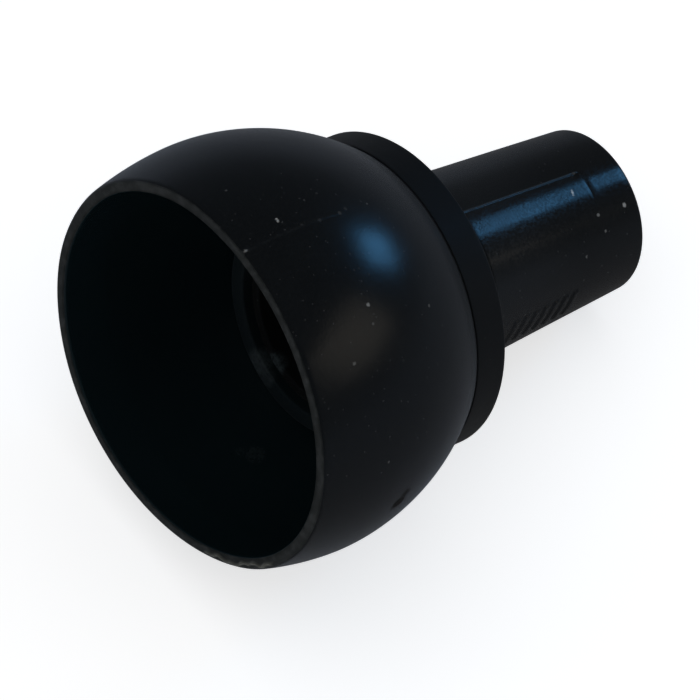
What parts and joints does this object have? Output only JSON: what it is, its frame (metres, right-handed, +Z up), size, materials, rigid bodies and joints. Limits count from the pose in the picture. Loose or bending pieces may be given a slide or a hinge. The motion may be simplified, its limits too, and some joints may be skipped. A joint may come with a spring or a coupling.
{
  "type": "blower bulb",
  "caption": "Thin black rubber ball with a wide open mouth, a neck collar behind it and a tapered open nozzle tube that pulls off.",
  "frame": {"origin": "on the bench, under the middle of the part's box, as the part lies on its side on the ball's widest ring and the rim of the nozzle's tip", "axes": "+Z up from the bench; +X from the mouth towards the nozzle's tip, level, so the turning axis dips 17.0 degrees below +X; +Y across"},
  "size_m": [0.0774, 0.0558, 0.0566],
  "materials": {
    "bulb_rubber": "satin black moulded rubber, dusty",
    "collar_plastic": "matt black moulded plastic",
    "clamp_plastic": "matt black moulded plastic",
    "nozzle_plastic": "semi-gloss black moulded plastic"
  },
  "bodies": {
    "nozzle": {"nozzle_tube": "nozzle_plastic"},
    "bulb": {"bulb_shell": "bulb_rubber", "neck_collar": "collar_plastic", "neck_clamp_ring": "clamp_plastic"}
  },
  "joints": [
    {"name": "nozzle_pull", "type": "slide", "parent": "nozzle", "child": "bulb", "axis": [-0.9565, 0, 0.2917], "range_m": [0, 0.018]}
  ]
}
